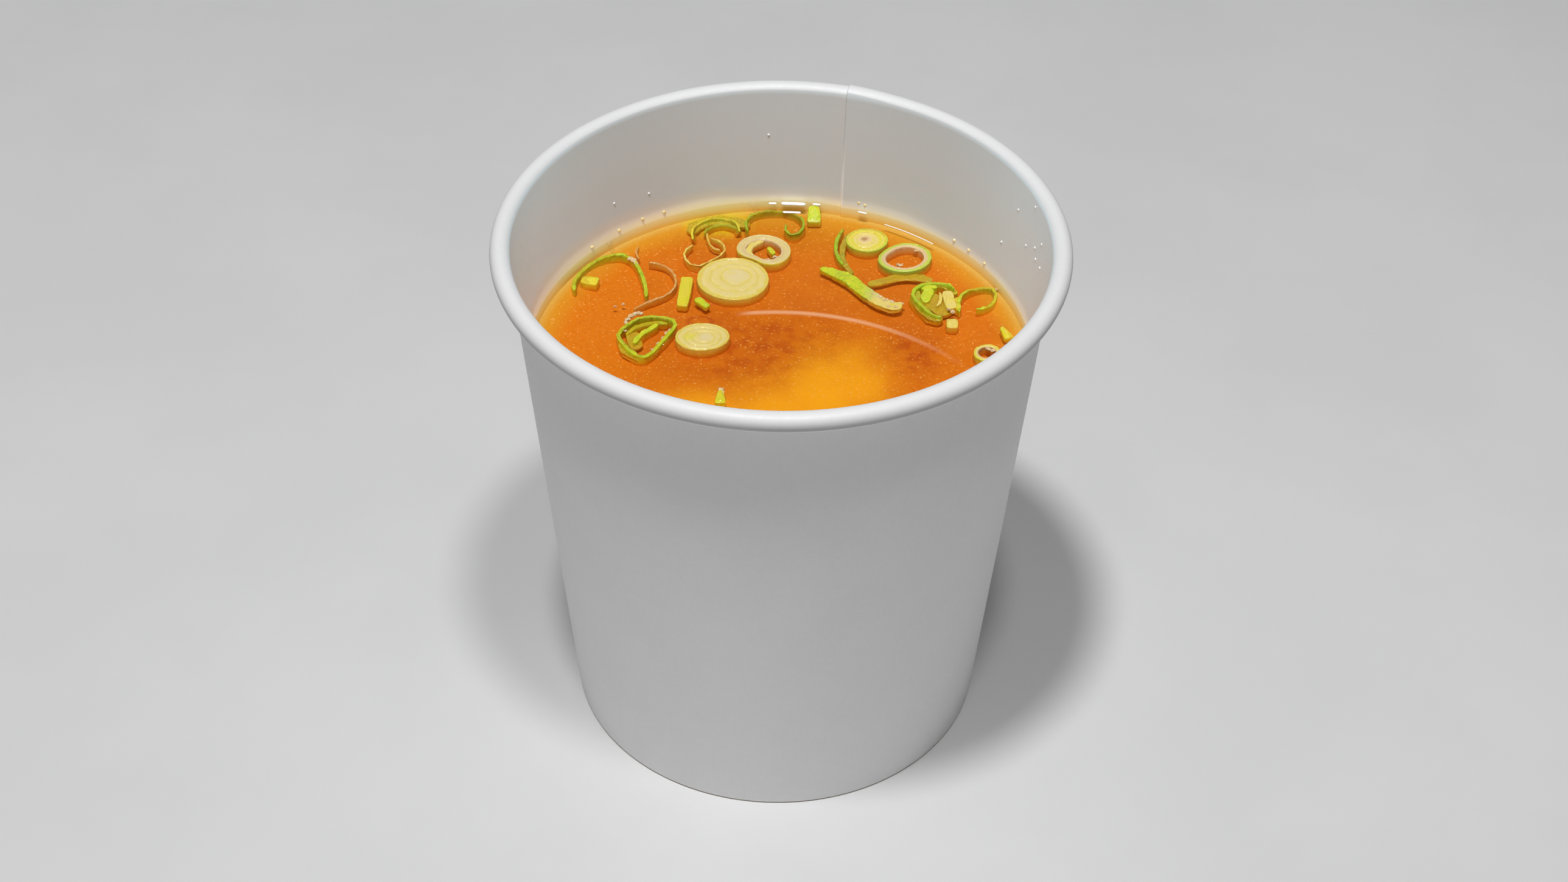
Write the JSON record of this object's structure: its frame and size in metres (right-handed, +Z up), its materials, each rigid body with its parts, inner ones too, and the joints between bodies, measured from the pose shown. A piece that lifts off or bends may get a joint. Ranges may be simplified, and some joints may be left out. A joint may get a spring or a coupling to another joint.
{
  "type": "cup of miso soup",
  "caption": "Miso soup in a plain rolled-rim paper cup, with cut spring onion floating on its surface.",
  "frame": {"origin": "centre of the cup's foot, on the surface that it stands on", "axes": "+Z up along the cup's axis; -Y is the side that the picture looks from, over the near rim; +X to the right"},
  "size_m": [0.098, 0.098, 0.1002],
  "materials": {
    "paper": "smooth white cup paper with a faint satin lining",
    "broth": "cloudy orange-brown broth with a wet, mirror-smooth surface",
    "onion_pale": "wet pale yellow onion layers",
    "onion_yellow": "wet yellow-green onion layers",
    "onion_green": "wet green leaf with fine ribs"
  },
  "bodies": {
    "root": {"cup_wall": "paper", "cup_base": "paper", "soup": "broth", "onion_slice_large": "onion_pale", "onion_slice_left": "onion_pale", "onion_slice_front": "onion_pale", "onion_ring_pale": "onion_pale", "cluster_core": "onion_pale", "cluster_slab": "onion_pale", "onion_cube": "onion_pale", "onion_loop_pale": "onion_pale", "onion_slice_green": "onion_yellow", "onion_ring_front_right": "onion_yellow", "onion_block_left": "onion_yellow", "onion_strip_left": "onion_yellow", "back_loop": "onion_yellow", "back_curl": "onion_yellow", "leaf_bit_right": "onion_yellow", "leaf_bit_front": "onion_yellow", "onion_loop_front": "onion_yellow", "onion_ring_green": "onion_green", "onion_ring_front": "onion_green", "cluster_ring": "onion_green", "cluster_leaf": "onion_green", "cluster_tail": "onion_green", "onion_arc_left": "onion_green", "leaf_bit_left": "onion_green", "torn_ring": "onion_green", "torn_tongue": "onion_green", "back_ring": "onion_green", "leaf_tip_back": "onion_green", "onion_arc_right": "onion_green", "leaf_strip": "onion_green", "onion_arc_front": "onion_green", "leaf_strip_front": "onion_green"}
  },
  "joints": []
}
